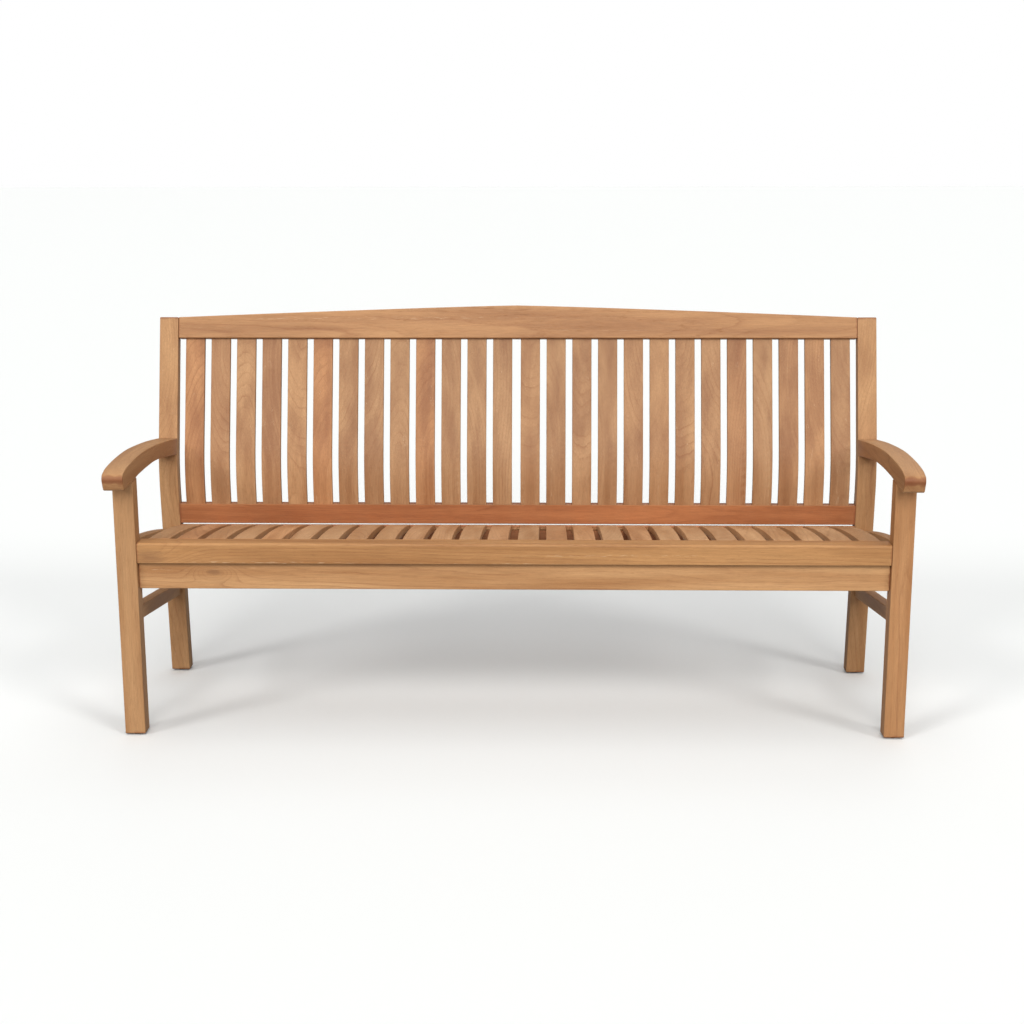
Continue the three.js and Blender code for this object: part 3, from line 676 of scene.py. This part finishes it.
# %% [markdown]
# ## The end frames and the long rails
# Now each board is made from its copy. The grain of a leg runs up, that of a rail along the
# bench, and that of an arm or a side rail from front to back. The rear legs, the arms and the
# top rail are curved, but they are sawn from straight planks, so their grain stays straight
# and runs out at the curves, which gives the arches on the arms.

# %% Make the boards
def lean_of(shape):
    """How far the board's largest face leans back from upright."""
    normal = max(shape.faces, key=lambda f: f.calc_area()).normal
    facing = normal if normal.y < 0 else -normal
    return math.atan2(facing.z, -facing.y)


def make_board(node, grain, sawn, paint, seed, leaning=False, weight=lambda edge: 1.0,
               knot=(0, 0, 0), knot_size=0.0):
    """A knot is placed in half lengths, half widths and half thicknesses from the middle."""
    shape = merged_copy(node)
    board = board_of(shape, grain, sawn, lean_of(shape) if leaning else 0.0)
    bmesh.ops.connect_verts_concave(shape, faces=shape.faces[:])
    shape.normal_update()
    rounded = mark_arrises(shape, board, weight)
    piece = finish_board(f"{node}_board", shape)
    mark_wood(piece.data, board, seed, knot, knot_size)
    piece.data.materials.clear()
    piece.data.materials.append(paint)
    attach(piece, "root")
    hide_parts(node)
    print(f"{node}: {rounded} arrises, {len(piece.data.polygons)} faces")
    return piece


RAIL_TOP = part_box("back_lower_rail")[1].z


def below_top(edge):
    """The lower back rail keeps its top sharp, since the slats stand close to its edges."""
    return 1.0 if max(v.co.z for v in edge.verts) < RAIL_TOP - MM else 0.0


for number, end in enumerate(("left", "right")):
    make_board(f"front_leg_{end}", "z", "y", frame_teak, 14 + number)
    make_board(f"rear_leg_{end}", "z", "y", frame_teak, 21 + number)
    make_board(f"arm_{end}", "y", "z", frame_teak, 31 + number)
    make_board(f"side_seat_rail_{end}", "y", "z", frame_teak, 41 + number)
    make_board(f"side_stretcher_{end}", "y", "z", frame_teak, 51 + number)
    make_board(f"seat_bearer_{end}", "y", "z", red_teak, 61 + number)

make_board("seat_front_rail", "x", "y", nosing_teak, 71,
           knot=(-0.965, -1.0, -0.35), knot_size=0.040)
make_board("front_apron", "x", "z", rail_teak, 72,
           knot=(-0.80, 0.3, -1.0), knot_size=0.020)
make_board("seat_rear_rail", "x", "y", red_teak, 73)
make_board("back_lower_rail", "x", "y", red_teak, 74, weight=below_top)
make_board("back_top_rail", "x", "z", frame_teak, 75, leaning=True)

# %% [markdown]
# ## The slats
# Fifty-two slats are the same two boards again and again, so one of each is made and Geometry
# Nodes lays out the rest. The row is set out from both ends, and what is left over shows as a
# slightly wider gap in the middle. Each slat gets its own number, which is its own place in
# the log, and stands up to half a millimetre out of line, as clamped joints do. Small blocks
# close the grooves of the seat rails between the slats, half of each beside either slat.

# %% The layout tree
layout, given, result = new_group(
    "slat_row", "GeometryNodeTree",
    {
        "Slat": ("NodeSocketGeometry", None), "Count": ("NodeSocketInt", 26),
        "Pitch": (FLOAT, 0.0647), "Middle Extra": (FLOAT, 0.005),
        "Out Of Line": (VECTOR, (0, 0, 0)), "Seed": ("NodeSocketInt", 1),
        "Wood": ("NodeSocketMaterial", None),
    },
    {"Row": "NodeSocketGeometry"},
)
layout.is_modifier = True
step = add(layout, "ShaderNodeCombineXYZ", {0: given["Pitch"]})
row = add(layout, "GeometryNodeMeshLine", {"Count": given["Count"], "Offset": step.outputs[0]})
index = add(layout, "GeometryNodeInputIndex").outputs[0]
second_half = add(layout, "FunctionNodeCompare",
                  {2: index, 3: calc(layout, "DIVIDE", given["Count"], 2.0)},
                  data_type="INT", operation="GREATER_EQUAL")
extra = calc(layout, "MULTIPLY", second_half.outputs[0], given["Middle Extra"])
shift = add(layout, "ShaderNodeCombineXYZ", {0: extra})
negative = add(layout, "ShaderNodeVectorMath", {0: given["Out Of Line"], 3: -1.0}, operation="SCALE")
stray = add(layout, "FunctionNodeRandomValue",
            {0: negative.outputs[0], 1: given["Out Of Line"], "Seed": given["Seed"]},
            data_type="FLOAT_VECTOR")
moved = add(layout, "ShaderNodeVectorMath", {0: shift.outputs[0], 1: stray.outputs[0]}, operation="ADD")
placed = add(layout, "GeometryNodeSetPosition",
             {"Geometry": row.outputs[0], "Offset": moved.outputs[0]})
copies = add(layout, "GeometryNodeInstanceOnPoints",
             {"Points": placed.outputs[0], "Instance": given["Slat"]})
own_number = add(layout, "FunctionNodeRandomValue", {2: 0.0, 3: 500.0, "Seed": given["Seed"]},
                 data_type="FLOAT")
named = add(layout, "GeometryNodeStoreNamedAttribute",
            {"Geometry": copies.outputs[0], "Name": "seed", "Value": own_number.outputs[1]},
            data_type="FLOAT", domain="INSTANCE")
real = add(layout, "GeometryNodeRealizeInstances", {"Geometry": named.outputs[0]})
painted = add(layout, "GeometryNodeSetMaterial",
              {"Geometry": real.outputs[0], "Material": given["Wood"]})
layout.links.new(painted.outputs[0], result["Row"])
print("layout tree:", len(layout.nodes), "nodes")

# %% Measure the rows
def centre_x(node):
    low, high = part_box(node)
    return (low.x + high.x) / 2


slat_low, slat_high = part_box("back_slat_01")
slat_width = slat_high.x - slat_low.x
SLATS = sum(name.startswith("back_slat_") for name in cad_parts)
pitch = centre_x("back_slat_02") - centre_x("back_slat_01")
across_middle = centre_x(f"back_slat_{SLATS // 2 + 1:02d}") - centre_x(f"back_slat_{SLATS // 2:02d}")
print(f"{SLATS} slats, {slat_width / MM:.1f} mm wide, {(pitch - slat_width) / MM:.1f} mm apart,",
      f"{(across_middle - slat_width) / MM:.1f} mm in the middle")


# %% Make one slat and lay out its row
SOFT_END = 0.18  # share of the arris that the edges across a slat's ends get
HAIR = 0.2 * MM
BACK_SEED = 5
SEAT_SEED = 8
BACK_STRAY = (0, 0.5 * MM, 0)
SEAT_STRAY = (0, 0, 0.3 * MM)


def first_slat(node, grain, sawn):
    """The slat at the left end of the row, drawn out from its side face."""
    source = merged_copy(node)
    left = min(v.co.x for v in source.verts)
    sides = [f for f in source.faces if all(abs(v.co.x - left) < SAME_POINT for v in f.verts)]
    corners = [v.co[:] for v in max(sides, key=lambda f: f.calc_area()).verts]
    source.free()
    shape = bmesh.new()
    face = shape.faces.new([shape.verts.new(c) for c in corners])
    drawn = bmesh.ops.extrude_face_region(shape, geom=[face])
    far = [v for v in drawn["geom"] if isinstance(v, bmesh.types.BMVert)]
    bmesh.ops.translate(shape, verts=far, vec=(slat_width, 0, 0))
    if not any(f == face for f in shape.faces):
        shape.faces.new([v for v in face.verts])
    bmesh.ops.recalc_face_normals(shape, faces=shape.faces)
    outline = np.array(corners)
    return shape, Board(outline, grain, sawn, (left, left + slat_width))


def spacer_faces(node):
    """The visible face of each block that closes a groove between this slat and the next."""
    source = merged_copy(node)
    left = min(v.co.x for v in source.verts)
    depth = [v.co.y for v in source.verts]
    start, end = left + slat_width - SAME_POINT, left + pitch + SAME_POINT
    found = []
    for face in source.faces:
        corners = points_of(face.verts)
        in_gap = corners[:, 0].min() > start and corners[:, 0].max() < end
        if in_gap and abs(face.normal.y) > 0.99:
            closed_end = min(depth) if face.normal.y > 0 else max(depth)
            found.append((corners[0, 1], closed_end, corners[:, 2].min(), corners[:, 2].max()))
    source.free()
    return left, found


def block(shape, low, high):
    """A box between two corners."""
    for vert in bmesh.ops.create_cube(shape, size=1.0)["verts"]:
        for axis in range(3):
            vert.co[axis] = low[axis] if vert.co[axis] < 0 else high[axis]


def add_spacers(shape, node):
    """Half a block on each side of the slat. The right one stands a hair prouder."""
    left, faces = spacer_faces(node)
    right = left + slat_width
    for face_y, end_y, low_z, high_z in faces:
        inward = math.copysign(HAIR, end_y - face_y)
        for x0, x1, deeper in ((left - (pitch - slat_width) / 2, left + MM, 1),
                               (right - MM, right + across_middle - (pitch + slat_width) / 2, 0)):
            near = face_y + inward * deeper
            block(shape, (x0, min(near, end_y), low_z + HAIR * deeper),
                  (x1, max(near, end_y), high_z - HAIR * deeper))
    print("spacers beside each slat:", len(faces))


def slat_row(name, node, grain, sawn, stray, seed, nodes, paint, spacers=False):
    shape, board = first_slat(node, grain, sawn)
    for edge in shape.edges:
        edge.smooth = True

    def weight_of(edge):
        ends_on = abs(edge.verts[0].co.x - edge.verts[1].co.x) > slat_width / 2
        return SOFT_END if ends_on else 1.0

    mark_arrises(shape, board, weight_of)
    if spacers:
        add_spacers(shape, node)
    piece = finish_board(name, shape)
    mark_wood(piece.data, board, None)
    piece.data.materials.clear()
    tree = piece.modifiers.new("row", "NODES")
    tree.node_group = layout
    sizes = {"Count": SLATS, "Pitch": pitch, "Middle Extra": across_middle - pitch,
             "Out Of Line": stray, "Seed": seed, "Wood": paint}
    for item in layout.interface.items_tree:
        if item.in_out == "INPUT" and item.name in sizes:
            tree[item.identifier] = sizes[item.name]
    graph = bpy.context.evaluated_depsgraph_get()
    mesh = bpy.data.meshes.new_from_object(piece.evaluated_get(graph),
                                           preserve_all_data_layers=True, depsgraph=graph)
    piece.modifiers.clear()
    piece.data = mesh
    mesh.name = name
    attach(piece, "root")
    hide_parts(*nodes)
    print(f"{name}: {len(mesh.polygons)} faces, attributes {[a.name for a in mesh.attributes][:9]}")
    return piece


back_nodes = sorted(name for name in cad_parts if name.startswith("back_slat_"))
seat_nodes = sorted(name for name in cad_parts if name.startswith("seat_slats_"))
slat_row("back_slats", "back_slat_01", "z", "y", BACK_STRAY, BACK_SEED, back_nodes, slat_teak)
slat_row("seat_slats", seat_nodes[0], "y", "z", SEAT_STRAY, SEAT_SEED, seat_nodes, seat_teak,
         spacers=True)

# %% [markdown]
# ## The foot glides
# Under each leg is a dark nylon glide on a nail. The design's own shape is right, so it only
# gets its material: matt moulded plastic with a fine grain, scuffed paler at its rim.

# %% Nylon
nylon = bpy.data.materials.new("glide_nylon")
nylon.use_nodes = True
tree = nylon.node_tree
shader = tree.nodes["Principled BSDF"]
coords = add(tree, "ShaderNodeTexCoord").outputs["Object"]
grain = add(tree, "ShaderNodeTexNoise", {"Vector": coords, "Scale": 900.0, "Detail": 3.0}).outputs[0]
scuff = add(tree, "ShaderNodeTexNoise", {"Vector": coords, "Scale": 160.0, "Detail": 4.0}).outputs[0]
height_of = add(tree, "ShaderNodeSeparateXYZ", {0: coords}).outputs[2]
low_rim = fade(tree, height_of, 0.0, 3 * MM, 1.0, 0.0)
scuffed = calc(tree, "MULTIPLY", low_rim, fade(tree, scuff, 0.45, 0.65))
color = blend(tree, scuffed, linear(38, 34, 31), linear(98, 92, 86))
tree.links.new(color, shader.inputs["Base Color"])
tree.links.new(fade(tree, grain, 0.2, 0.8, 0.45, 0.65), shader.inputs["Roughness"])
nub = add(tree, "ShaderNodeBump", {"Height": grain, "Distance": 0.0001, "Strength": 0.5})
tree.links.new(nub.outputs[0], shader.inputs["Normal"])
for name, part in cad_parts.items():
    if name.startswith("foot_glide_"):
        for place in part.material_slots:
            place.material = nylon
print("glides painted:", sum(name.startswith("foot_glide_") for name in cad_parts))
